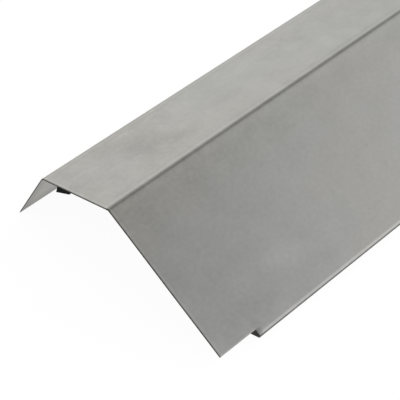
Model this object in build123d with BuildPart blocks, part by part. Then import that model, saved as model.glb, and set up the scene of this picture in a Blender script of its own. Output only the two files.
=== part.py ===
"""Fascia cap: a length of folded zinc sheet with a sealing strip stuck under its top panel.

The section lies in X and Z and the length runs along Y. The cap stands as it would on a level
floor, on the edge of its flange and the edge of its hem lip. The origin is on the floor, under
the middle of the cap. The end at -Y is the lap, which slides under the hem of the next length.
"""

import os
from math import atan2, cos, degrees, radians, sin, tan

from build123d import *

# Sheet
length = 1000.0
thickness = 0.7
inner_radius = 2.0

# Panels, measured on the weather face between the sharp corners of the bends
flange_width = 77.0
top_width = 87.5
front_width = 161.0
lip_width = 15.0

# Turn of the sheet at each bend
flange_angle = 46.0
ridge_angle = 45.5
hem_angle = 133.0

# Lap at the -Y end, where the front panel is cut back from the corner of the hem bend
lap_length = 42.0
lap_trim = 11.0

# Sealing strip under the top panel, its inset measured from the corner of the flange bend
strip_inset = 21.0
strip_width = 14.0
strip_depth = 4.0

# The strip's -Y end is cut askew: set back towards the ridge, and leaning out of the cap below
strip_slant = 15.0
strip_lean = 34.0


def along(start, distance, direction):
    """Point at a distance from start, in a direction given in degrees from the top panel."""
    angle = radians(direction)
    return start + Vector(distance * cos(angle), distance * sin(angle))


# Sharp corners of the weather face, with the top panel level and the ridge corner at zero
flange_direction = flange_angle
front_direction = -ridge_angle
lip_direction = front_direction - hem_angle

ridge_corner = Vector(0, 0)
flange_corner = along(ridge_corner, -top_width, 0)
flange_edge = along(flange_corner, -flange_width, flange_direction)
hem_corner = along(ridge_corner, front_width, front_direction)
lip_edge = along(hem_corner, lip_width, lip_direction)

# The cap rests on the inner corner of its flange edge and the outer corner of its lip edge
flange_contact = along(flange_edge, thickness, flange_direction - 90)
lip_contact = lip_edge
resting_line = lip_contact - flange_contact
rest_tilt = -degrees(atan2(resting_line.Y, resting_line.X))


def section_plane(y, origin=Vector(0, 0), direction=0):
    """Upright plane across the cap at y, with x in a direction given from the tilted top panel."""
    slope = radians(rest_tilt + direction)
    return Plane(
        origin=(origin.X, y, origin.Y),
        x_dir=(cos(slope), 0, sin(slope)),
        z_dir=(0, -1, 0),
    )


def sheet_section(plane):
    """Sheet of even thickness under the weather-face corners, with rounded bends."""
    with BuildSketch(plane) as section:
        with BuildLine():
            FilletPolyline(
                flange_edge,
                flange_corner,
                ridge_corner,
                hem_corner,
                lip_edge,
                radius=inner_radius + thickness,
            )
            offset(amount=thickness, side=Side.RIGHT)
        make_face()
    return section.sketch


def hem_notch(plane):
    """Area round the hem's section, beyond the lap's cut edge and under the front panel.

    In this plane x runs down the front panel from the ridge corner and y out of its weather face.
    """
    below = lip_width + 2 * thickness
    with BuildSketch(plane) as notch:
        with Locations((front_width, thickness)):
            Rectangle(lap_trim, below + thickness, align=(Align.MAX, Align.MAX))
        with Locations((front_width, -thickness - inner_radius)):
            Rectangle(lap_trim + lip_width, below - thickness - inner_radius, align=(Align.MAX, Align.MAX))
    return notch.sketch


# Where the ridge corner stands once the cap is on the floor and centred on the origin
bounds = sheet_section(section_plane(0)).bounding_box()
ridge_place = Vector(-bounds.center().X, -bounds.min.Z)
strip_overhang = strip_depth * tan(radians(strip_lean))
near_y = (strip_overhang - length) / 2

near_end = section_plane(near_y, ridge_place)
near_end_of_front = section_plane(near_y, ridge_place, front_direction)

with BuildPart() as cap_sheet:
    extrude(sheet_section(near_end), amount=-length)
    extrude(hem_notch(near_end_of_front), amount=-lap_length, mode=Mode.SUBTRACT)

# Underside of the top panel, with x towards the ridge bend and y towards the lap end
strip_seat = Plane(
    origin=near_end.from_local_coords(along(flange_corner, strip_inset, 0) - Vector(0, thickness)),
    x_dir=near_end.x_dir,
    z_dir=-near_end.y_dir,
)
strip_cut = Plane(
    origin=strip_seat.origin,
    z_dir=strip_seat.y_dir
    + strip_seat.x_dir * tan(radians(strip_slant))
    - strip_seat.z_dir * tan(radians(strip_lean)),
)

with BuildPart() as seal_strip:
    with BuildSketch(strip_seat):
        with Locations((0, strip_overhang)):
            Rectangle(strip_width, length + strip_overhang, align=(Align.MIN, Align.MAX))
    extrude(amount=strip_depth)
    split(bisect_by=strip_cut, keep=Keep.BOTTOM)

cap_sheet.part.label = "cap_sheet"
seal_strip.part.label = "seal_strip"

os.makedirs("parts", exist_ok=True)
export_step(cap_sheet.part, "parts/cap_sheet.step")
export_step(seal_strip.part, "parts/seal_strip.step")

girth = flange_width + top_width + front_width + lip_width
print(f"rest tilt {rest_tilt:.2f} degrees, girth {girth:.0f} mm")
print(f"ridge corner at x {ridge_place.X:.2f} mm, z {ridge_place.Y:.2f} mm")
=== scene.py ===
"""Looks of the fascia cap: a folded zinc sheet with a foam sealing strip, in a white studio.

Everything is in metres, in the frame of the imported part: the section lies in X and Z, the length
runs along Y, and the cap stands on the floor with its lap end at -Y.
"""

from math import atan2, cos, radians, sin, tan

import bpy
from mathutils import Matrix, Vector


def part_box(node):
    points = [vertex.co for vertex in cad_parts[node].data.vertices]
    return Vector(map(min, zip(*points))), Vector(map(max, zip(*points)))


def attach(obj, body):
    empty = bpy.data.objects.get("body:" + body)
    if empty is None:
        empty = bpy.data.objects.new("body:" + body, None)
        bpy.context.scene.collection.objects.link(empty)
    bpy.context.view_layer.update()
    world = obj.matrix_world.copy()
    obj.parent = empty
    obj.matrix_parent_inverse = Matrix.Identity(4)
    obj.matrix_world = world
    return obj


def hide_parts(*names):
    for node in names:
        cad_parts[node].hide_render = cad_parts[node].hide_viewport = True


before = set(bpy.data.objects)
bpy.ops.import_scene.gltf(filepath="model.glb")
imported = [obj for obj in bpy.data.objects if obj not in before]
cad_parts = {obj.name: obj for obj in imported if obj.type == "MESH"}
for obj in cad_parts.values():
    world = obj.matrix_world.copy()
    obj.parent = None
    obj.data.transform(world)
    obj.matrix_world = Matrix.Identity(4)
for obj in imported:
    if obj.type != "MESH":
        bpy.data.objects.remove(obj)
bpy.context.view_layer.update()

bl_info = {
    "name": "Fascia cap",
    "version": (1, 0, 0),
    "blender": (4, 5, 0),
    "location": "3D View > Sidebar > Fascia cap",
    "description": "Builds a folded zinc fascia cap with its sealing strip and a white studio",
    "category": "Object",
}

SHEET_LOW, SHEET_HIGH = (Vector(corner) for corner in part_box("cap_sheet"))

MM = 0.001
RIGHT_ANGLE = radians(90)

# Mesh edges that turn by more than this are drawn sharp.
CREASE_ANGLE = radians(35)

# Points nearer than this to each other are made one.
MERGE_DISTANCE = 0.001 * MM


class Value:
    """A number on a node socket. Arithmetic on it adds Math nodes to its tree."""

    def __init__(self, nodes, socket):
        self.nodes = nodes
        self.socket = socket

    def __add__(self, other):
        return self.nodes.math("ADD", self, other)

    def __sub__(self, other):
        return self.nodes.math("SUBTRACT", self, other)

    def __rsub__(self, other):
        return self.nodes.math("SUBTRACT", other, self)

    def __mul__(self, other):
        return self.nodes.math("MULTIPLY", self, other)

    def __truediv__(self, other):
        return self.nodes.math("DIVIDE", self, other)

    def __rtruediv__(self, other):
        return self.nodes.math("DIVIDE", other, self)

    def __gt__(self, other):
        return self.nodes.math("GREATER_THAN", self, other)

    def __lt__(self, other):
        return self.nodes.math("LESS_THAN", self, other)

    __radd__ = __add__
    __rmul__ = __mul__


class Nodes:
    """Adds and links the nodes of one shader or geometry tree."""

    def __init__(self, tree):
        self.tree = tree

    def add(self, kind, settings=None, inputs=None):
        """A node of a kind, with its settings made first and then its sockets set or linked.

        The setting "items" is how many items an Index Switch chooses from.
        """
        node = self.tree.nodes.new(kind)
        for name, setting in (settings or {}).items():
            if name == "items":
                for _ in range(setting - len(node.index_switch_items)):
                    node.index_switch_items.new()
            else:
                setattr(node, name, setting)
        for name, given in (inputs or {}).items():
            self.feed(node.inputs[name], given)
        return node

    def feed(self, socket, given):
        """Links a value or a socket to a socket, or sets the socket to a plain value."""
        if isinstance(given, Value):
            given = given.socket
        if isinstance(given, bpy.types.NodeSocket):
            self.tree.links.new(given, socket)
        else:
            socket.default_value = given

    def value(self, kind, output, settings=None, inputs=None):
        """One output of a new node, as a number to reckon with."""
        return Value(self, self.add(kind, settings, inputs).outputs[output])

    def math(self, operation, *operands):
        """A Math node on numbers."""
        return self.value("ShaderNodeMath", 0, {"operation": operation}, dict(enumerate(operands)))

    def vector(self, operation, *operands, output=0):
        """A Vector Math node, whose result is a socket."""
        node = self.add("ShaderNodeVectorMath", {"operation": operation}, dict(enumerate(operands)))
        return node.outputs[output]

    def scaled(self, vector, factor):
        """A vector made longer or shorter by a number."""
        inputs = {0: vector, "Scale": factor}
        return self.add("ShaderNodeVectorMath", {"operation": "SCALE"}, inputs).outputs[0]

    def combine(self, x, y, z):
        """A vector from three numbers."""
        return self.add("ShaderNodeCombineXYZ", inputs={0: x, 1: y, 2: z}).outputs[0]

    def split(self, vector):
        """The three numbers of a vector."""
        node = self.add("ShaderNodeSeparateXYZ", inputs={0: vector})
        return tuple(Value(self, number) for number in node.outputs)

    def smooth(self, number, start, end):
        """0 before the start and 1 past the end, with a smooth change between them.

        The start may be the greater of the two, and the number then falls on its way to the end.
        """
        settings = {"interpolation_type": "SMOOTHSTEP"}
        return self.value("ShaderNodeMapRange", 0, settings, {0: number, 1: start, 2: end})


class ShaderNodes(Nodes):
    """Adds the nodes that surface finishes are made of."""

    def blend(self, factor, first, second, mode="MIX"):
        """A colour between two colours."""
        settings = {"data_type": "RGBA", "blend_type": mode}
        return self.add("ShaderNodeMix", settings, {0: factor, 6: first, 7: second}).outputs[2]

    def shaded(self, colour, shade):
        """A colour made lighter or darker by a number."""
        return self.vector("MULTIPLY", colour, self.combine(shade, shade, shade))

    def noise(self, place, lump, detail, roughness=0.5):
        """Soft noise from 0 to 1, with lumps of about the given size."""
        inputs = {"Vector": place, "Scale": 1 / lump, "Detail": detail, "Roughness": roughness}
        return self.value("ShaderNodeTexNoise", 0, None, inputs)

    def pattern(self, place, shift, stretch, lump, detail, roughness):
        """Noise on a place that is shifted and stretched first."""
        moved = self.vector("MULTIPLY", self.vector("ADD", place, shift), stretch)
        return self.noise(moved, lump, detail, roughness)

    def line_at(self, number, middle, half_width, core=0.2):
        """1 where a number is near a middle value, and 0 from a half width away on.

        The core is the share of the half width over which it stays 1.
        """
        distance = self.math("ABSOLUTE", number - middle)
        return self.smooth(distance, half_width, half_width * core)


def new_material(name):
    """An empty node material with its output, and the nodes to fill it with."""
    material = bpy.data.materials.new(name)
    material.use_nodes = True
    material.node_tree.nodes.clear()
    nodes = ShaderNodes(material.node_tree)
    return material, nodes, nodes.add("ShaderNodeOutputMaterial")


def new_geometry(name, sizes):
    """A geometry tree with a named input for each size, its nodes and the values of those inputs."""
    tree = bpy.data.node_groups.new(name, "GeometryNodeTree")
    tree.is_modifier = True
    tree.interface.new_socket("Geometry", in_out="OUTPUT", socket_type="NodeSocketGeometry")
    nodes = Nodes(tree)
    for size in sizes:
        tree.interface.new_socket(size, in_out="INPUT", socket_type="NodeSocketFloat")
    group = nodes.add("NodeGroupInput")
    return tree, nodes, {size: Value(nodes, group.outputs[size]) for size in sizes}


def stored(nodes, geometry, name, field, data_type="FLOAT", domain="POINT"):
    """The geometry with a field kept on it as a named attribute."""
    settings = {"data_type": data_type, "domain": domain}
    inputs = {"Geometry": geometry, "Name": name, "Value": field}
    return nodes.add("GeometryNodeStoreNamedAttribute", settings, inputs).outputs[0]


def attribute(nodes, name, data_type):
    """The socket of a named attribute."""
    settings = {"data_type": data_type}
    return nodes.add("GeometryNodeInputNamedAttribute", settings, {"Name": name}).outputs[0]


def kept_vector(nodes, name):
    """A vector that is kept as a named attribute."""
    return attribute(nodes, name, "FLOAT_VECTOR")


def kept_number(nodes, name):
    """A number that is kept as a named attribute, to reckon with."""
    return Value(nodes, attribute(nodes, name, "FLOAT"))


def placed(nodes, geometry, inputs):
    """The geometry with its points at a given Position, or moved by a given Offset."""
    return nodes.add("GeometryNodeSetPosition", None, {"Geometry": geometry, **inputs}).outputs[0]


def merged(nodes, geometry):
    """The geometry with the points that lie in one place made one."""
    inputs = {"Geometry": geometry, "Distance": MERGE_DISTANCE}
    return nodes.add("GeometryNodeMergeByDistance", None, inputs).outputs[0]


def resampled(nodes, curve, count):
    """The curve with a number of evenly spaced points."""
    inputs = {"Curve": curve, "Count": count}
    return nodes.add("GeometryNodeResampleCurve", None, inputs).outputs[0]


def finish_tree(nodes, geometry, material):
    """Ends a geometry tree with realized instances, smooth faces, sharp corners and a material."""
    realized = nodes.add("GeometryNodeRealizeInstances", inputs={"Geometry": geometry}).outputs[0]
    sharp = nodes.value("GeometryNodeInputMeshEdgeAngle", "Unsigned Angle") > CREASE_ANGLE
    shaded = nodes.add(
        "GeometryNodeSetShadeSmooth",
        {"domain": "EDGE"},
        {"Geometry": realized, "Selection": sharp, "Shade Smooth": False},
    ).outputs[0]
    painted = nodes.add(
        "GeometryNodeSetMaterial", None, {"Geometry": shaded, "Material": material}
    ).outputs[0]
    nodes.add("NodeGroupOutput", inputs={0: painted})


def build_piece(name, tree, sizes):
    """An object whose plain mesh is what a geometry tree makes of the given sizes."""
    piece = bpy.data.objects.new(name, bpy.data.meshes.new(name))
    bpy.context.scene.collection.objects.link(piece)
    modifier = piece.modifiers.new(tree.name, "NODES")
    modifier.node_group = tree
    for socket in tree.interface.items_tree:
        if socket.in_out == "INPUT":
            modifier[socket.identifier] = sizes[socket.name]
    depsgraph = bpy.context.evaluated_depsgraph_get()
    mesh = bpy.data.meshes.new_from_object(
        piece.evaluated_get(depsgraph), preserve_all_data_layers=True, depsgraph=depsgraph
    )
    piece.modifiers.clear()
    piece.data = mesh
    mesh.name = name
    return piece


def length_setting(name, default, description):
    """A length that a user may change."""
    return bpy.props.FloatProperty(
        name=name, description=description, default=default, min=0, unit="LENGTH", precision=4
    )


def angle_setting(name, degrees, description):
    """An angle that a user may change."""
    return bpy.props.FloatProperty(
        name=name, description=description, default=radians(degrees), subtype="ANGLE"
    )


def colour_setting(name, default, description):
    """A colour that a user may change."""
    return bpy.props.FloatVectorProperty(
        name=name, description=description, default=default, size=4, min=0, max=1, subtype="COLOR"
    )


class CapSheetSettings(bpy.types.PropertyGroup):
    """Sizes and colours of the folded sheet."""

    thickness: length_setting("Thickness", 0.7 * MM, "Thickness of the zinc sheet")
    bend_radius: length_setting("Bend radius", 2.0 * MM, "Inner radius of every bend")
    flange_width: length_setting("Flange width", 77 * MM, "Flange, to the sharp corner of its bend")
    top_width: length_setting("Top width", 87.5 * MM, "Top panel, between its sharp corners")
    front_width: length_setting("Front width", 161 * MM, "Front panel, between its sharp corners")
    lip_width: length_setting("Lip width", 15 * MM, "Hem lip, from the sharp corner of its bend")
    flange_angle: angle_setting("Flange angle", 46, "Turn of the sheet between flange and top panel")
    ridge_angle: angle_setting("Ridge angle", 45.5, "Turn of the sheet between top and front panel")
    hem_angle: angle_setting("Hem angle", 133, "Turn of the sheet between front panel and hem lip")
    lap_length: length_setting("Lap length", 42 * MM, "Length at the lap end that has no hem")
    lap_trim: length_setting("Lap trim", 11 * MM, "How far the lap is cut back from the hem's corner")
    waviness: length_setting("Waviness", 0.35 * MM, "How far the flat panels wave in and out")
    panel_pitch: length_setting("Panel pitch", 4.5 * MM, "Spacing of the mesh across the panels")
    run_pitch: length_setting("Run pitch", 10 * MM, "Spacing of the mesh along the length")
    bend_steps: bpy.props.IntProperty(
        name="Bend steps", description="Points round each bend", default=16, min=2
    )
    zinc: colour_setting("Zinc", (0.408, 0.404, 0.383, 1), "Colour of the flange and top panel")
    zinc_cool: colour_setting("Cool zinc", (0.402, 0.401, 0.391, 1), "Colour of the front panel")
    green_bloom: colour_setting("Green bloom", (0.985, 1.0, 0.98, 1), "Tint of greenish clouds")
    brown_bloom: colour_setting("Brown bloom", (1.0, 0.99, 0.965, 1), "Tint of brownish clouds")


class SealStripSettings(bpy.types.PropertyGroup):
    """Sizes and colour of the sealing strip."""

    inset: length_setting("Inset", 21 * MM, "Distance from the flange corner")
    slant: angle_setting("Slant", 15, "Slant of the cut end, seen from above")
    lean: angle_setting("Lean", 34, "Lean of the cut end out of the cap")
    width: length_setting("Width", 14 * MM, "Width of the strip")
    depth: length_setting("Depth", 4 * MM, "Thickness of the strip")
    rounding: length_setting("Rounding", 0.4 * MM, "Radius of the strip's lower corners")
    unevenness: length_setting("Unevenness", 0.25 * MM, "Depth of the dents in the foam")
    foam: colour_setting("Foam", (0.006, 0.006, 0.0065, 1), "Colour of the foam")


class StudioSettings(bpy.types.PropertyGroup):
    """Camera, and brightness of the walls and the ceiling."""

    camera_place: bpy.props.FloatVectorProperty(
        name="Camera place",
        description="Where the camera stands, from the ridge corner at the lap end",
        default=(0.61774, -0.51928, 0.79370),
        size=3,
        subtype="TRANSLATION",
        unit="LENGTH",
    )
    lens: bpy.props.FloatProperty(
        name="Lens", description="Focal length on a 36 mm sensor", default=125.06, unit="CAMERA"
    )
    turn: angle_setting("Turn", 44.632, "Camera heading, left of the cap's length")
    pitch: angle_setting("Pitch", 44.227, "How far the camera looks down")
    wall_light: bpy.props.FloatProperty(
        name="Wall light", description="Light from the white walls on matt surfaces", default=0.9, min=0
    )
    ceiling: bpy.props.FloatProperty(
        name="Ceiling",
        description="Brightness of the ceiling beside the walls",
        default=0.29,
        min=0,
        max=1,
        subtype="FACTOR",
    )


def section_direction(angle):
    """A unit vector in the section plane, at an angle up from +X."""
    return Vector((cos(angle), 0, sin(angle)))


class Section:
    """Where the sheet's sharp corners stand, worked out from its sizes and the frame's box."""

    def __init__(self, sheet):
        across = section_direction

        # With a level top panel the flange's foot and the lip's edge stand at different heights.
        # The cap is tilted until both rest on the floor.
        flange = -sheet.flange_width * across(sheet.flange_angle)
        front = sheet.front_width * across(-sheet.ridge_angle)
        lip = sheet.lip_width * across(-sheet.ridge_angle - sheet.hem_angle)
        flange_foot = flange + sheet.thickness * across(sheet.flange_angle - RIGHT_ANGLE)
        resting = (front + lip) - (flange_foot - sheet.top_width * across(0))
        self.tilt = -atan2(resting.z, resting.x)
        self.near = SHEET_LOW.y
        self.length = SHEET_HIGH.y - SHEET_LOW.y

        # The frame's box then says where the ridge is.
        flange_turn = self.tilt + sheet.flange_angle
        edge = -sheet.top_width * across(self.tilt) - sheet.flange_width * across(flange_turn)
        foot = edge + sheet.thickness * across(flange_turn - RIGHT_ANGLE)
        self.ridge = Vector((SHEET_LOW.x - edge.x, self.near, SHEET_LOW.z - foot.z))
        self.flange_corner = self.ridge - sheet.top_width * across(self.tilt)
        self.bend_girths = self.girths_of_bends(sheet)

    def girths_of_bends(self, sheet):
        """Distances along the weather face, from the flange edge to the middle of each bend."""
        radius = sheet.bend_radius + sheet.thickness
        widths = (sheet.flange_width, sheet.top_width, sheet.front_width)
        angles = (sheet.flange_angle, sheet.ridge_angle, sheet.hem_angle)
        middles = []
        end_of_last = 0
        for width, angle in zip(widths, angles):
            corner_cut = radius * tan(angle / 2)
            start = end_of_last + width - corner_cut
            middles.append(start + radius * angle / 2)
            end_of_last = start + radius * angle - corner_cut
        return middles


def section_curve(nodes, size):
    """Line of the weather face across the sheet, and the panel number at the lap's edge.

    Each point keeps its panel number, which is 0 at the flange edge and 1 more at each corner,
    its girth, which is its distance from the flange edge, and its outward direction.
    """

    def step(start, distance, angle):
        x = start[0] + distance * nodes.math("COSINE", angle)
        return x, start[1] + distance * nodes.math("SINE", angle)

    tilt = size["Tilt"]
    front_direction = tilt - size["Ridge Angle"]
    ridge = size["Ridge X"], size["Ridge Z"]
    flange_corner = step(ridge, 0 - size["Top Width"], tilt)
    flange_edge = step(flange_corner, 0 - size["Flange Width"], tilt + size["Flange Angle"])
    lap_edge = step(ridge, size["Front Width"] - size["Lap Trim"], front_direction)
    hem_corner = step(ridge, size["Front Width"], front_direction)
    lip_edge = step(hem_corner, size["Lip Width"], front_direction - size["Hem Angle"])
    corners = (flange_edge, flange_corner, ridge, lap_edge, hem_corner, lip_edge)
    lap_number = 2 + (size["Front Width"] - size["Lap Trim"]) / size["Front Width"]
    panel_numbers = (0, 1, 2, lap_number, 3, 4)
    lap_index = corners.index(lap_edge)

    index = nodes.value("GeometryNodeInputIndex", 0)
    line = resampled(nodes, nodes.add("GeometryNodeCurvePrimitiveLine").outputs[0], len(corners))
    place_inputs = {"Index": index}
    number_inputs = {"Index": index}
    for order, (corner, number) in enumerate(zip(corners, panel_numbers)):
        place_inputs[order + 1] = nodes.combine(corner[0], 0, corner[1])
        number_inputs[order + 1] = number
    items = {"items": len(corners)}
    place = nodes.add("GeometryNodeIndexSwitch", {"data_type": "VECTOR", **items}, place_inputs)
    number = nodes.add("GeometryNodeIndexSwitch", {"data_type": "FLOAT", **items}, number_inputs)
    line = placed(nodes, line, {"Position": place.outputs[0]})
    line = stored(nodes, line, "panel", number.outputs[0])

    at_lap_edge = nodes.math("COMPARE", index, lap_index, 0.5)
    radius = (size["Bend Radius"] + size["Thickness"]) * (1 - at_lap_edge)
    line = nodes.add(
        "GeometryNodeFilletCurve",
        {"mode": "POLY"},
        {"Curve": line, "Count": size["Bend Steps"], "Radius": radius},
    ).outputs[0]

    position = nodes.add("GeometryNodeInputPosition").outputs[0]
    after = nodes.add(
        "GeometryNodeFieldAtIndex",
        {"data_type": "FLOAT_VECTOR"},
        {"Index": index + 1, "Value": position},
    ).outputs[0]
    gap = Value(nodes, nodes.vector("DISTANCE", position, after, output="Value"))
    cuts = nodes.math("FLOOR", gap / size["Panel Pitch"])
    line = nodes.add("GeometryNodeSubdivideCurve", None, {"Curve": line, "Cuts": cuts}).outputs[0]

    girth = nodes.add("GeometryNodeSplineParameter").outputs["Length"]
    tangent = nodes.add("GeometryNodeInputTangent").outputs[0]
    outward = nodes.vector("CROSS_PRODUCT", tangent, (0, 1, 0))
    line = stored(nodes, line, "girth", girth)
    line = stored(nodes, line, "outward", outward, "FLOAT_VECTOR")
    line = stored(nodes, line, "section", position, "FLOAT_VECTOR")
    return line, lap_number


def run_curve(nodes, size):
    """Line along the cap, divided into rows, one of which lies where the hem starts."""
    hem_length = size["Length"] - size["Lap Length"]
    lap_rows = nodes.math("CEIL", size["Lap Length"] / size["Run Pitch"])
    hem_rows = nodes.math("CEIL", hem_length / size["Run Pitch"])
    line = nodes.add(
        "GeometryNodeCurvePrimitiveLine", None, {"Start": (0, 0, 0), "End": (0, 1, 0)}
    ).outputs[0]
    line = resampled(nodes, line, lap_rows + hem_rows + 1)
    row = nodes.value("GeometryNodeInputIndex", 0)
    in_lap = nodes.math("MINIMUM", row / lap_rows, 1)
    in_hem = nodes.math("MAXIMUM", (row - lap_rows) / hem_rows, 0)
    run = in_lap * size["Lap Length"] + in_hem * hem_length
    line = stored(nodes, line, "run", run)
    return placed(nodes, line, {"Position": nodes.combine(0, run, 0)})


# About how many waves a panel has in a metre of its width and of its length.
WAVES_ACROSS = 7
WAVES_ALONG = 4


def panel_waves(nodes, size):
    """How far each panel stands out of its plane, which fades towards its bends and edges."""
    share = nodes.math("FRACT", kept_number(nodes, "panel"))
    fade = 4 * share * (1 - share)
    across = kept_number(nodes, "girth") * WAVES_ACROSS
    place = nodes.combine(across, kept_number(nodes, "run") * WAVES_ALONG, size["Seed"])
    noise = nodes.value("ShaderNodeTexNoise", 0, None, {"Vector": place, "Scale": 1, "Detail": 1})
    return (noise - 0.5) * 2 * fade * size["Waviness"]


def folded_sheet_tree(material, sizes):
    """Geometry nodes that sweep the section along the cap, cut the lap and give it thickness."""
    tree, nodes, size = new_geometry("Folded sheet", sizes)
    section, lap_number = section_curve(nodes, size)
    face = nodes.add(
        "GeometryNodeCurveToMesh", None, {"Curve": run_curve(nodes, size), "Profile Curve": section}
    ).outputs[0]
    outward = kept_vector(nodes, "outward")
    along = nodes.combine(0, kept_number(nodes, "run") + size["Near End"], 0)
    place = nodes.vector("ADD", kept_vector(nodes, "section"), along)
    wave = nodes.scaled(outward, panel_waves(nodes, size))
    face = placed(nodes, face, {"Position": place, "Offset": wave})

    in_lap = kept_number(nodes, "run") < size["Lap Length"]
    past_edge = kept_number(nodes, "panel") > lap_number
    face = nodes.add(
        "GeometryNodeDeleteGeometry",
        {"domain": "FACE"},
        {"Geometry": face, "Selection": in_lap * past_edge},
    ).outputs[0]
    face = merged(nodes, face)

    extruded = nodes.add(
        "GeometryNodeExtrudeMesh",
        {"mode": "FACES"},
        {"Mesh": face, "Offset Scale": 0, "Individual": False},
    )
    mesh, inner, side = (extruded.outputs[name] for name in ("Mesh", "Top", "Side"))
    back = stored(nodes, mesh, "cut_edge", side, "BOOLEAN", "FACE")
    inward = nodes.scaled(outward, 0 - size["Thickness"])
    back = placed(nodes, back, {"Selection": inner, "Offset": inward})
    back = stored(nodes, back, "depth", inner)
    back = nodes.add("GeometryNodeFlipFaces", None, {"Mesh": back}).outputs[0]
    joined = nodes.add("GeometryNodeJoinGeometry")
    nodes.feed(joined.inputs[0], face)
    nodes.feed(joined.inputs[0], back)
    solid = merged(nodes, joined.outputs[0])
    place = nodes.combine(*(kept_number(nodes, name) for name in ("girth", "run", "depth")))
    solid = stored(nodes, solid, "sheet_place", place, "FLOAT_VECTOR")
    finish_tree(nodes, solid, material)
    return tree


# Patterns on the zinc: shift in metres, which picks the random lumps, how fast the pattern changes
# across, along and through the sheet, size of a lump, and the noise's detail and roughness.
CLOUDS = ((2.7, 0.34, 0), (1, 0.6, 0.2), 55 * MM, 2, 0.5)
BLOTCHES = ((1.87, 2.23, 0), (1, 0.8, 0.2), 20 * MM, 3, 0.6)
MOTTLE = ((0, 0, 0), (1, 0.8, 0.1), 4 * MM, 3, 0.6)
GRAIN = ((0, 0, 0), (1, 0.04, 0.1), 0.7 * MM, 2, 0.5)
HUES = ((0.09, 1.4, 0), (1, 0.6, 0.3), 85 * MM, 2, 0.5)
RAGGED_EDGES = ((0, 0, 0), (1, 1, 1), 22 * MM, 3, 0.6)

# Folding marks along the bends, with painted shade and painted highlights: the dark line at the ridge
# and the light band and dark lower line of the hem are painted shade and highlights of the bends.
# Columns: number of the bend, millimetres from its middle, towards the hem, half width in
# millimetres, and how much lighter the mark is.
FOLD_MARKS_AND_PAINTED_LIGHT = (
    (0, 1.6, 1.2, -0.06),
    (0, 3.6, 1.8, 0.035),
    (0, 6.4, 2.4, -0.04),
    (1, -5.4, 2.0, 0.06),
    (1, -8.0, 1.4, -0.03),
    (1, -1.6, 2.1, -0.42),
    (1, 0.2, 2.4, -0.17),
    (1, 5.0, 5.0, 0.05),
    (2, -3.4, 1.3, 0.30),
    (2, -0.55, 2.35, -0.58),
)

# Lines along the cut at the lap end: a painted highlight a little in from the cut, and a dark line at
# the cut, partly the sheared edge and partly painted shade. Columns: millimetres from the cut, half
# width in millimetres, and how much lighter the mark is.
CUT_MARKS_AND_PAINTED_LIGHT = (
    (2.3, 1.2, 0.11),
    (0, 1.4, -0.8),
)

# Darker and paler patches: millimetres from the middle of the ridge bend, towards the hem, and from
# the lap end, half width and half length in millimetres, turn in degrees, and how much lighter.
DARK_AND_PALE_PATCHES = (
    (-50, 84, 21, 38, -38, -0.095),
    (-34, 109, 13, 18, -45, -0.10),
    (-46, 70, 18, 18, 0, -0.035),
    (-50, 8, 9, 10, 0, -0.08),
    (-40, 135, 46, 28, 0, 0.035),
    (-20, 40, 15, 34, 0, 0.04),
    (-40, 178, 18, 27, 0, -0.025),
    (-5, 320, 6, 190, 0, -0.10),
    (-64, 205, 9, 36, 0, 0.045),
    (-57, 284, 8, 16, -20, -0.05),
    (-50, 460, 60, 210, 0, -0.08),
    (35, 30, 22, 14, 0, -0.03),
    (20, 70, 9, 22, 0, -0.03),
    (116, 108, 12, 30, -15, 0.055),
    (134, 53, 13, 34, 0, -0.07),
    (143, 5, 11, 9, 0, 0.07),
    (139, 148, 9, 17, 0, -0.04),
    (146, 44, 6, 6, 0, -0.08),
    (70, 20, 90, 26, 0, -0.02),
)


class ZincLook:
    """How strongly each thing shows on the zinc, as a share of its brightness or roughness.

    A pair says where the thing starts to show and where it shows in full: on the sheet's girth or
    run, which count from the flange edge and the lap end, among the values of a pattern, or from
    the middle of an oval, whose edge is at 1.
    """

    # All over the sheet
    clouds = 0.12
    mottle = 0.22
    grain = 0.06
    blotches = 0.25

    # The front panel has fewer blotches, and the other two panels are worn towards the lap end.
    front_reach = 50 * MM
    fewer_blotches_on_front = 0.10
    worn_run = (200 * MM, 80 * MM)
    more_mottle_on_worn = 0.09
    more_blotches_on_worn = 0.06

    # Colour
    green_hues = (0.48, 0.66)
    brown_hues = (0.52, 0.34)
    brown_run = (150 * MM, 60 * MM)
    brown_end = 0.12

    # Darker and paler patches
    patch_raggedness = 1.6
    patch_fade = (1.25, 0.1)

    # Painted light: a painted highlight along the lap edge, and painted shade at the hem's start and on
    # the inner face where less light gets in. The cut edges are darker partly as sheared metal and
    # partly as painted shade.
    # Painted highlight along the lap edge
    lap_edge = 0.2
    lap_edge_half_width = 2.2 * MM
    # Painted shade at the start of the hem
    hem_start_shade = 0.4
    hem_start_reach = 7 * MM
    # Painted shade on the inner face
    hem_inside_shade = 0.35
    lap_inside_shade = 0.3
    lap_inside_run = (15 * MM, 1 * MM)
    flange_inside_shade = 0.26
    flange_inside_girth = (31 * MM, 5 * MM)
    # The cut edges are darker, partly as sheared metal and partly as painted shade
    cut_edge = 0.7

    # Sheen
    metallic = 0.8
    roughness = 0.33
    cloud_roughness = 0.10
    mottle_roughness = 0.10
    cut_edge_roughness = 0.25
    bump_strength = 0.10
    bump_depth = 0.05 * MM
    mottle_bump = 0.35
    grain_bump = 0.65


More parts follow.
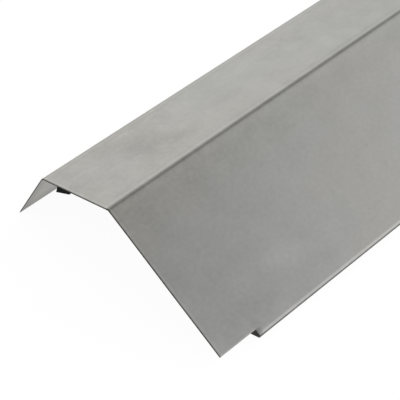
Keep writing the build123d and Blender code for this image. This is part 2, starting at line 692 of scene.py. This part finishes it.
def add_marks_and_painted_light(nodes, shade, place, section):
    """The shade with the darker and paler patches, and the fold and cut marks with painted light on
    them.
    """
    girth, run, _ = nodes.split(place)
    ridge = section.bend_girths[1]
    ragged = (nodes.pattern(place, *RAGGED_EDGES) - 0.5) * ZincLook.patch_raggedness
    for across, along, half_width, half_length, turn, change in DARK_AND_PALE_PATCHES:
        oval = {
            "Location": (ridge + across * MM, along * MM, 0),
            "Rotation": (0, 0, radians(turn)),
            "Scale": (half_width * MM, half_length * MM, 1),
        }
        mapping = nodes.add("ShaderNodeMapping", {"vector_type": "TEXTURE"}, {"Vector": place, **oval})
        away = Value(nodes, nodes.vector("LENGTH", mapping.outputs[0], output="Value"))
        shade = shade + nodes.smooth(away + ragged, *ZincLook.patch_fade) * change
    # Folding marks with painted shade and painted highlights along the bends
    for bend, offset, half_width, change in FOLD_MARKS_AND_PAINTED_LIGHT:
        middle = section.bend_girths[bend] + offset * MM
        shade = shade + nodes.line_at(girth, middle, half_width * MM) * change
    # Painted highlight, and a dark line that is partly painted shade, along the cut at the lap end
    for offset, half_width, change in CUT_MARKS_AND_PAINTED_LIGHT:
        shade = shade + nodes.line_at(run, offset * MM, half_width * MM) * change
    return shade


def zinc_finish(sheet, section):
    """Mill-finish zinc: cloudy grey, fine grain along the roll, folding marks and dark cut edges,
    with painted shade and painted highlights along its bends, cut, lap edge and inner face.
    """
    look = ZincLook
    material, nodes, output = new_material("mill_zinc")
    place = nodes.add("ShaderNodeAttribute", {"attribute_name": "sheet_place"}).outputs["Vector"]
    girth, run, depth = nodes.split(place)
    inner_face = depth > 0.5
    cut_edge = nodes.value("ShaderNodeAttribute", "Fac", {"attribute_name": "cut_edge"})
    ridge = section.bend_girths[1]
    on_front = nodes.smooth(girth, ridge, ridge + look.front_reach)

    hue = nodes.pattern(place, *HUES)
    hue = hue - nodes.smooth(run, *look.brown_run) * (1 - on_front) * look.brown_end
    green = nodes.smooth(hue, *look.green_hues)
    brown = nodes.smooth(hue, *look.brown_hues)
    colour = nodes.blend(on_front, tuple(sheet.zinc), tuple(sheet.zinc_cool))
    colour = nodes.blend(green, colour, tuple(sheet.green_bloom), "MULTIPLY")
    colour = nodes.blend(brown, colour, tuple(sheet.brown_bloom), "MULTIPLY")

    clouds = nodes.pattern(place, *CLOUDS) - 0.5
    blotches = nodes.pattern(place, *BLOTCHES) - 0.5
    mottle = nodes.pattern(place, *MOTTLE)
    grain = nodes.pattern(place, *GRAIN)
    worn = nodes.smooth(run, *look.worn_run) * (1 - on_front)
    mottle_strength = look.mottle + worn * look.more_mottle_on_worn
    blotch_strength = look.blotches - on_front * look.fewer_blotches_on_front
    blotch_strength = blotch_strength + worn * look.more_blotches_on_worn
    shade = 1 + clouds * look.clouds + (mottle - 0.5) * mottle_strength
    shade = shade + (grain - 0.5) * look.grain + blotches * blotch_strength
    shade = add_marks_and_painted_light(nodes, shade, place, section)

    lap_edge = ridge + sheet.front_width - sheet.lap_trim
    # Painted highlight along the lap's cut edge
    lap_edge_highlight = nodes.line_at(girth, lap_edge, look.lap_edge_half_width) * (run < sheet.lap_length)
    # Painted shade on the inner face: near the flange edge, near the lap end and inside the hem
    flange_inside_shade = nodes.smooth(girth, *look.flange_inside_girth) * inner_face
    lap_inside_shade = nodes.smooth(run, *look.lap_inside_run) * inner_face
    hem_inside_shade = (girth > section.bend_girths[2]) * inner_face
    # Painted shade on the hem's first millimetres past the lap end
    hem_start_shade = nodes.smooth(run, sheet.lap_length + look.hem_start_reach, sheet.lap_length)
    hem_start_shade = hem_start_shade * (girth > lap_edge)
    shade = shade + lap_edge_highlight * look.lap_edge - flange_inside_shade * look.flange_inside_shade
    # Painted shade at the hem's start, near the lap end and inside the hem, and cut edges that are
    # darker partly as sheared metal and partly as painted shade
    for dark, strength in (
        (hem_start_shade, look.hem_start_shade),
        (lap_inside_shade, look.lap_inside_shade),
        (hem_inside_shade, look.hem_inside_shade),
        (cut_edge, look.cut_edge),
    ):
        shade = shade * (1 - dark * strength)

    roughness = look.roughness + clouds * look.cloud_roughness
    roughness = roughness + (mottle - 0.5) * look.mottle_roughness
    roughness = roughness + cut_edge * look.cut_edge_roughness
    height = mottle * look.mottle_bump + grain * look.grain_bump
    bump = nodes.add(
        "ShaderNodeBump", None,
        {"Strength": look.bump_strength, "Distance": look.bump_depth, "Height": height},
    )
    surface = nodes.add(
        "ShaderNodeBsdfPrincipled", None,
        {
            "Base Color": nodes.shaded(colour, shade),
            "Metallic": look.metallic,
            "Roughness": roughness,
            "Normal": bump.outputs[0],
        },
    )
    nodes.feed(output.inputs["Surface"], surface.outputs[0])
    return material


class CAP_OT_folded_sheet(bpy.types.Operator):
    """Build the folded zinc sheet with its lap"""

    bl_idname = "cap.folded_sheet"
    bl_label = "Folded sheet"

    def execute(self, context):
        sheet = context.scene.cap_sheet
        section = Section(sheet)
        sizes = {
            "Ridge X": section.ridge.x,
            "Ridge Z": section.ridge.z,
            "Near End": section.near,
            "Length": section.length,
            "Tilt": section.tilt,
            "Thickness": sheet.thickness,
            "Bend Radius": sheet.bend_radius,
            "Bend Steps": float(sheet.bend_steps),
            "Flange Width": sheet.flange_width,
            "Top Width": sheet.top_width,
            "Front Width": sheet.front_width,
            "Lip Width": sheet.lip_width,
            "Flange Angle": sheet.flange_angle,
            "Ridge Angle": sheet.ridge_angle,
            "Hem Angle": sheet.hem_angle,
            "Lap Length": sheet.lap_length,
            "Lap Trim": sheet.lap_trim,
            "Panel Pitch": sheet.panel_pitch,
            "Run Pitch": sheet.run_pitch,
            "Waviness": sheet.waviness,
            "Seed": 3.0,
        }
        tree = folded_sheet_tree(zinc_finish(sheet, section), sizes)
        piece = build_piece("folded_sheet", tree, sizes)
        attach(piece, "root")
        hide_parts("cap_sheet")
        return {"FINISHED"}


# Points of the strip's mesh across, along and through it.
STRIP_POINTS = {"Vertices X": 9, "Vertices Y": 260, "Vertices Z": 13}
DENTS_PER_METRE = 160

# The top of the strip, as a share of its depth, is glued on and has no dents.
GLUED_SHARE = 0.1


def seal_strip_tree(material, sizes):
    """Geometry nodes that lay a foam bar under the top panel and cut its near end askew."""
    tree, nodes, size = new_geometry("Seal strip", sizes)
    cube = nodes.add("GeometryNodeMeshCube", None, {"Size": (1, 1, 1), **STRIP_POINTS})
    x_share, y_share, z_share = nodes.split(nodes.add("GeometryNodeInputPosition").outputs[0])
    across = x_share + 0.5
    along = y_share + 0.5
    below = 0.5 - z_share

    depth = below * size["Depth"]
    into_corner = nodes.math("MAXIMUM", (depth - size["Depth"]) / size["Rounding"] + 1, 0)
    inset = (1 - nodes.math("SQRT", 1 - into_corner * into_corner)) * size["Rounding"]
    x = inset + across * (size["Width"] - inset * 2)
    slant = x * nodes.math("TANGENT", size["Slant"])
    near_cut = slant - depth * nodes.math("TANGENT", size["Lean"])
    run = near_cut * (1 - along) + size["Length"] * along
    cosine = nodes.math("COSINE", size["Tilt"])
    sine = nodes.math("SINE", size["Tilt"])
    place = nodes.combine(
        size["Seat X"] + x * cosine + depth * sine,
        size["Near End"] + run,
        size["Seat Z"] + x * sine - depth * cosine,
    )
    bar = placed(nodes, cube.outputs["Mesh"], {"Position": place})

    position = nodes.add("GeometryNodeInputPosition").outputs[0]
    shifted = nodes.vector("ADD", position, nodes.combine(size["Seed"], 0, 0))
    noise = {"Vector": shifted, "Scale": DENTS_PER_METRE, "Detail": 2}
    dents = nodes.value("ShaderNodeTexNoise", 0, None, noise)
    inward = 0 - dents * size["Unevenness"] * (below > GLUED_SHARE)
    normal = nodes.add("GeometryNodeInputNormal").outputs[0]
    bar = placed(nodes, bar, {"Offset": nodes.scaled(normal, inward)})
    finish_tree(nodes, bar, material)
    return tree


class FoamLook:
    """How strongly the pores and the dust show on the foam."""

    pores_per_metre = 1500
    pore_edge = (0.15, 0.6)
    dust_lump = 5 * MM
    dust_detail = 3
    darkest = 0.6
    pores = 0.5
    dust = 0.5
    roughness = 0.75
    dust_roughness = 0.15
    specular = 0.2
    bump_strength = 0.6
    bump_depth = 0.2 * MM
    dust_bump = 0.5


def foam_finish(strip):
    """Black closed-cell foam with fine pores."""
    look = FoamLook
    material, nodes, output = new_material("black_foam")
    place = nodes.add("ShaderNodeTexCoord").outputs["Object"]
    cells = {"Vector": place, "Scale": look.pores_per_metre}
    pores = nodes.value("ShaderNodeTexVoronoi", "Distance", None, cells)
    open_cells = nodes.smooth(pores, *look.pore_edge)
    dust = nodes.noise(place, look.dust_lump, look.dust_detail)
    shade = look.darkest + open_cells * look.pores + dust * look.dust
    height = open_cells + dust * look.dust_bump
    bump = nodes.add(
        "ShaderNodeBump", None,
        {"Strength": look.bump_strength, "Distance": look.bump_depth, "Height": height},
    )
    surface = nodes.add(
        "ShaderNodeBsdfPrincipled", None,
        {
            "Base Color": nodes.shaded(tuple(strip.foam)[:3], shade),
            "Roughness": look.roughness + dust * look.dust_roughness,
            "Specular IOR Level": look.specular,
            "Normal": bump.outputs[0],
        },
    )
    nodes.feed(output.inputs["Surface"], surface.outputs[0])
    return material


class CAP_OT_seal_strip(bpy.types.Operator):
    """Build the foam strip under the top panel"""

    bl_idname = "cap.seal_strip"
    bl_label = "Sealing strip"

    def execute(self, context):
        strip = context.scene.cap_strip
        sheet = context.scene.cap_sheet
        section = Section(sheet)
        seat = section.flange_corner + strip.inset * section_direction(section.tilt)
        seat = seat + sheet.thickness * section_direction(section.tilt - RIGHT_ANGLE)
        sizes = {
            "Seat X": seat.x,
            "Seat Z": seat.z,
            "Near End": section.near,
            "Length": section.length,
            "Tilt": section.tilt,
            "Width": strip.width,
            "Depth": strip.depth,
            "Slant": strip.slant,
            "Lean": strip.lean,
            "Rounding": strip.rounding,
            "Unevenness": strip.unevenness,
            "Seed": 1.0,
        }
        tree = seal_strip_tree(foam_finish(strip), sizes)
        piece = build_piece("sealing_strip", tree, sizes)
        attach(piece, "root")
        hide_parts("seal_strip")
        return {"FINISHED"}


WHITE = (1, 1, 1, 1)

# How far the floor reaches from the middle, in metres, and its matt colour.
FLOOR_REACH = 8
FLOOR_COLOUR = (0.8, 0.8, 0.8, 1)

# Strength of the floor's glow, and how much of the floor is glow, for the camera and in what the
# zinc mirrors. The rest of the floor is matt and takes the cap's shadow.
FLOOR_GLOW = 1.10
GLOW_FOR_CAMERA = 0.85
GLOW_IN_MIRROR = 0.6

# Heights of a direction, from 0 level to 1 straight up, between which walls become ceiling.
CEILING_EDGE = (0.50, 0.95)

# Lamps: name, place, the point that they shine on, width, height, and power in watts.
SOFTBOXES = (
    ("left_behind", (-1.9, 0.9, 0.9), (0, -0.1, 0.05), 1.6, 1.0, 1.1),
    ("right_high", (1.3, 1.7, 1.8), (0.1, 0.1, 0), 1.2, 1.2, 1.65),
    ("right_low", (2.3, 1.3, 0.5), (0.1, 0, 0), 1.4, 0.7, 5.7),
)


def ray_kinds(nodes):
    """1 for rays from the camera, and 1 for rays that a shiny or clear surface sends."""
    path = nodes.add("ShaderNodeLightPath")
    camera = Value(nodes, path.outputs["Is Camera Ray"])
    mirrored = nodes.math("MAXIMUM", path.outputs["Is Glossy Ray"], path.outputs["Is Transmission Ray"])
    return camera, mirrored


def white_floor_finish():
    """White floor that keeps a soft shadow of the cap."""
    material, nodes, output = new_material("white_floor")
    camera, mirrored = ray_kinds(nodes)
    glowing = nodes.math("MAXIMUM", camera * GLOW_FOR_CAMERA, mirrored * GLOW_IN_MIRROR)
    matt = nodes.add("ShaderNodeBsdfDiffuse", None, {"Color": FLOOR_COLOUR}).outputs[0]
    glow = nodes.add(
        "ShaderNodeEmission", None, {"Color": WHITE, "Strength": FLOOR_GLOW}
    ).outputs[0]
    mixed = nodes.add("ShaderNodeMixShader", None, {0: glowing, 1: matt, 2: glow})
    nodes.feed(output.inputs["Surface"], mixed.outputs[0])
    return material


def add_floor():
    """The white floor that the cap stands on."""
    reach = FLOOR_REACH
    corners = [(-reach, -reach, 0), (reach, -reach, 0), (reach, reach, 0), (-reach, reach, 0)]
    mesh = bpy.data.meshes.new("floor")
    mesh.from_pydata(corners, [], [(0, 1, 2, 3)])
    mesh.materials.append(white_floor_finish())
    floor = bpy.data.objects.new("floor", mesh)
    bpy.context.scene.collection.objects.link(floor)


def set_world(wall_light, ceiling):
    """White walls under a darker ceiling, which light the cap softly from all round."""
    world = bpy.data.worlds.new("white_studio")
    world.use_nodes = True
    world.node_tree.nodes.clear()
    nodes = ShaderNodes(world.node_tree)
    camera, mirrored = ray_kinds(nodes)
    direction = nodes.add("ShaderNodeTexCoord").outputs["Generated"]
    height = nodes.split(direction)[2]
    walls = 1 - nodes.smooth(height, *CEILING_EDGE) * (1 - ceiling)
    light = walls * (mirrored + wall_light * (1 - mirrored))
    strength = nodes.math("MAXIMUM", camera, light)
    background = nodes.add("ShaderNodeBackground", None, {"Color": WHITE, "Strength": strength})
    output = nodes.add("ShaderNodeOutputWorld")
    nodes.feed(output.inputs["Surface"], background.outputs[0])
    bpy.context.scene.world = world


def look_along(thing, direction):
    """Turns a camera or lamp to look in a direction, with its top upwards."""
    thing.rotation_mode = "QUATERNION"
    thing.rotation_quaternion = direction.to_track_quat("-Z", "Y")


def add_softbox(name, place, target, width, height, power):
    """A large soft lamp that shines from a place on a target."""
    lamp = bpy.data.lights.new(name, "AREA")
    lamp.shape = "RECTANGLE"
    lamp.size = width
    lamp.size_y = height
    lamp.energy = power
    softbox = bpy.data.objects.new(name, lamp)
    softbox.location = place
    look_along(softbox, Vector(target) - Vector(place))
    bpy.context.scene.collection.objects.link(softbox)


def add_camera(studio, ridge):
    """The camera, placed from the ridge corner at the lap end."""
    camera_data = bpy.data.cameras.new("camera")
    camera_data.lens = studio.lens
    camera = bpy.data.objects.new("camera", camera_data)
    camera.location = ridge + Vector(studio.camera_place)
    level = Vector((-sin(studio.turn), cos(studio.turn), 0))
    look_along(camera, level * cos(studio.pitch) + Vector((0, 0, -sin(studio.pitch))))
    bpy.context.scene.collection.objects.link(camera)
    return camera


class CAP_OT_studio(bpy.types.Operator):
    """Set up the camera, the soft lamps, the white floor and the white background"""

    bl_idname = "cap.studio"
    bl_label = "Studio"

    def execute(self, context):
        studio = context.scene.cap_studio
        add_floor()
        set_world(studio.wall_light, studio.ceiling)
        for softbox in SOFTBOXES:
            add_softbox(*softbox)
        context.scene.camera = add_camera(studio, Section(context.scene.cap_sheet).ridge)
        context.scene.view_settings.view_transform = "Standard"
        return {"FINISHED"}


class CAP_PT_sidebar(bpy.types.Panel):
    """Lists the cap's settings and the buttons that build it"""

    bl_idname = "CAP_PT_sidebar"
    bl_label = "Fascia cap"
    bl_space_type = "VIEW_3D"
    bl_region_type = "UI"
    bl_category = "Fascia cap"

    def draw(self, context):
        groups = (
            (context.scene.cap_sheet, CAP_OT_folded_sheet.bl_idname),
            (context.scene.cap_strip, CAP_OT_seal_strip.bl_idname),
            (context.scene.cap_studio, CAP_OT_studio.bl_idname),
        )
        for settings, operator in groups:
            box = self.layout.box()
            for name in type(settings).__annotations__:
                box.prop(settings, name)
            box.operator(operator)


CLASSES = (
    CapSheetSettings,
    SealStripSettings,
    StudioSettings,
    CAP_OT_folded_sheet,
    CAP_OT_seal_strip,
    CAP_OT_studio,
    CAP_PT_sidebar,
)


def register():
    for cls in CLASSES:
        bpy.utils.register_class(cls)
    bpy.types.Scene.cap_sheet = bpy.props.PointerProperty(type=CapSheetSettings)
    bpy.types.Scene.cap_strip = bpy.props.PointerProperty(type=SealStripSettings)
    bpy.types.Scene.cap_studio = bpy.props.PointerProperty(type=StudioSettings)


def unregister():
    del bpy.types.Scene.cap_studio
    del bpy.types.Scene.cap_strip
    del bpy.types.Scene.cap_sheet
    for cls in reversed(CLASSES):
        bpy.utils.unregister_class(cls)


def main():
    register()
    bpy.ops.cap.folded_sheet()
    bpy.ops.cap.seal_strip()
    bpy.ops.cap.studio()


if __name__ == "__main__":
    main()
